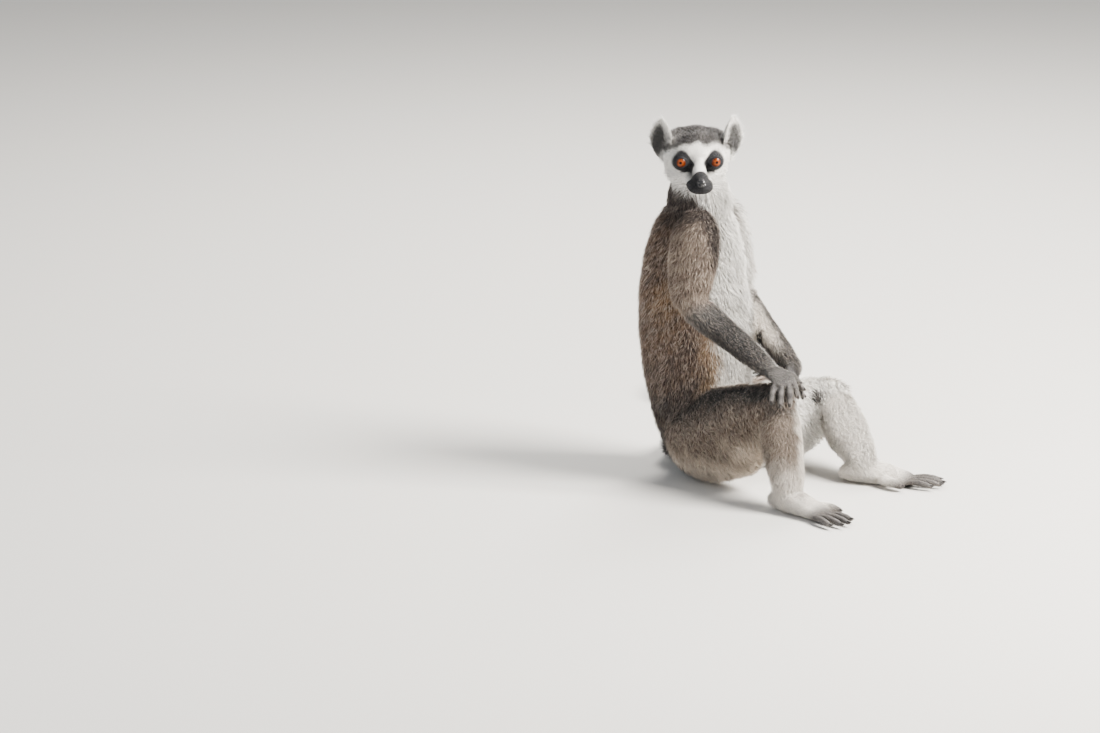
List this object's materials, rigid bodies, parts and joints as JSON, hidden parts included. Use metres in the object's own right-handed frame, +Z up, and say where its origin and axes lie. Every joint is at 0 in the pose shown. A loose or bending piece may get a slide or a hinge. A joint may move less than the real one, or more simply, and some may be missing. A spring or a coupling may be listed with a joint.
{
  "type": "ring-tailed lemur",
  "caption": "Life-size ring-tailed lemur sitting upright with its hands on one knee, its head turned to the side and its banded tail laid out behind it.",
  "frame": {"origin": "centre of the flat of the rump, on the floor that the animal sits on", "axes": "+Z up; the trunk faces -Y; +X is towards the animal's left"},
  "size_m": [0.512, 0.4495, 0.389],
  "materials": {
    "white_coat": "soft cream-white fur",
    "grey_coat": "short grey fur with pale ticking",
    "brown_coat": "dense brown-grey fur with pale ticking",
    "black_coat": "black fur of the tail's rings",
    "dark_skin": "bare creased dark grey skin of hands, soles, lids and nose",
    "eye": "wet orange iris with a small black pupil"
  },
  "bodies": {
    "root": {"ear_L": "white_coat", "ear_R": "white_coat", "eye_L": "eye", "eye_R": "eye", "foot_L": "grey_coat", "foot_R": "grey_coat", "forearm_L": "grey_coat", "forearm_R": "grey_coat", "hand_L": "dark_skin", "hand_R": "dark_skin", "head": "white_coat", "neck": "white_coat", "nose": "dark_skin", "shin_L": "grey_coat", "shin_R": "grey_coat", "tail_1": "white_coat", "tail_2": "black_coat", "tail_3": "white_coat", "tail_4": "black_coat", "tail_5": "white_coat", "tail_6": "black_coat", "thigh_L": "grey_coat", "thigh_R": "grey_coat", "trunk": "brown_coat", "upper_arm_L": "brown_coat", "upper_arm_R": "brown_coat"}
  },
  "joints": []
}
